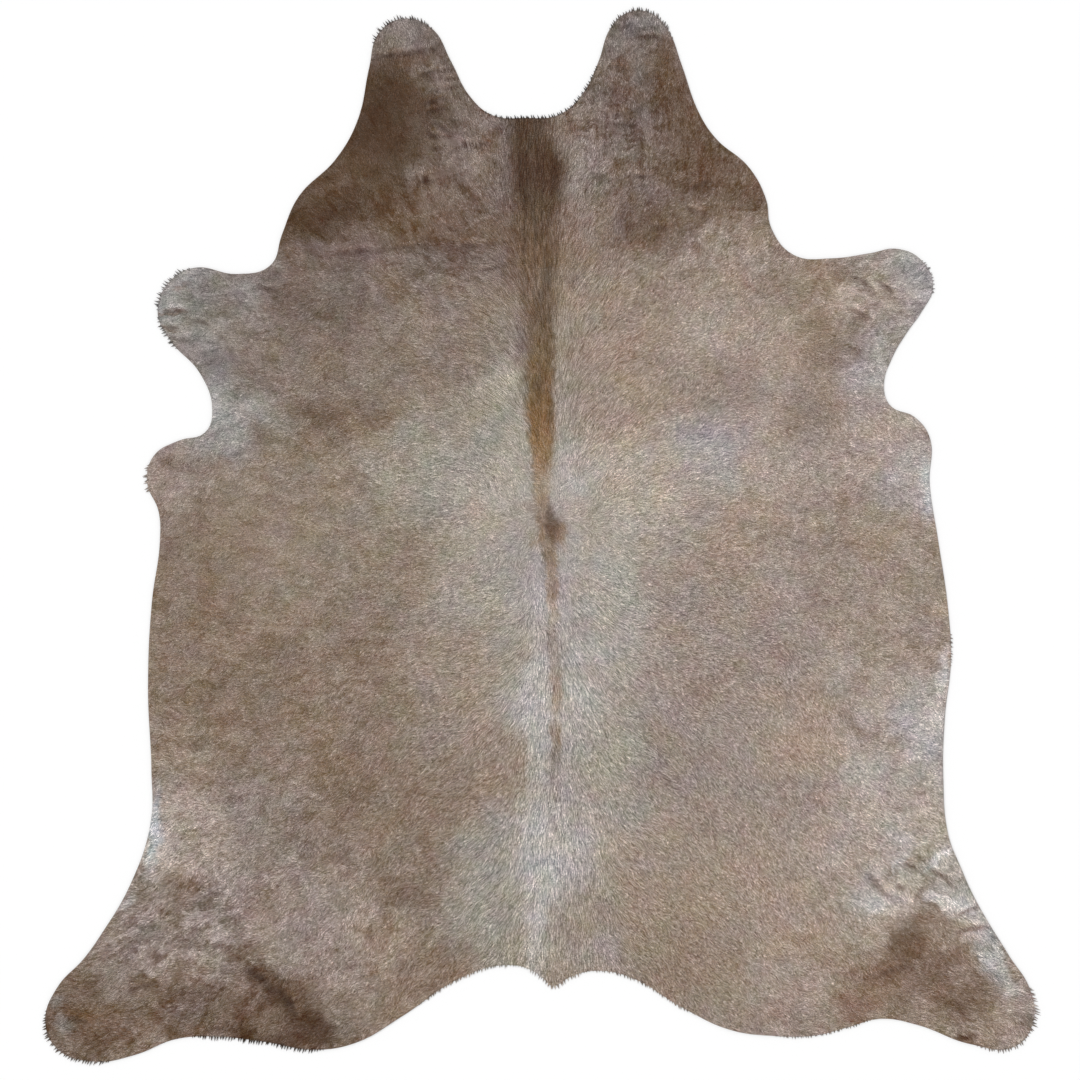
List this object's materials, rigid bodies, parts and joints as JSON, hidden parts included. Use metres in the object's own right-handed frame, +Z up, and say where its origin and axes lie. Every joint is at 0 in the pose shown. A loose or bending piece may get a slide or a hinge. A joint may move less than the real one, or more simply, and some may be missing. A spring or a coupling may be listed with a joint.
{
  "type": "cowhide rug",
  "caption": "Whole hair-on cowhide laid flat as a rug: trimmed natural outline with neck flaps, shanks and tail point, short greige coat, darker spine stripe.",
  "frame": {"origin": "middle of the rug's extent, on the floor plane under the flesh side", "axes": "+Y from the tail to the neck, +X to the right-hand side seen from above, +Z up from the floor to the hair side"},
  "size_m": [2.0794, 2.21, 0.007],
  "materials": {
    "hide": "hair-on hide, short lying greige-brown hair above, matt suede flesh side below"
  },
  "bodies": {
    "root": {"hide": "hide"}
  },
  "joints": []
}
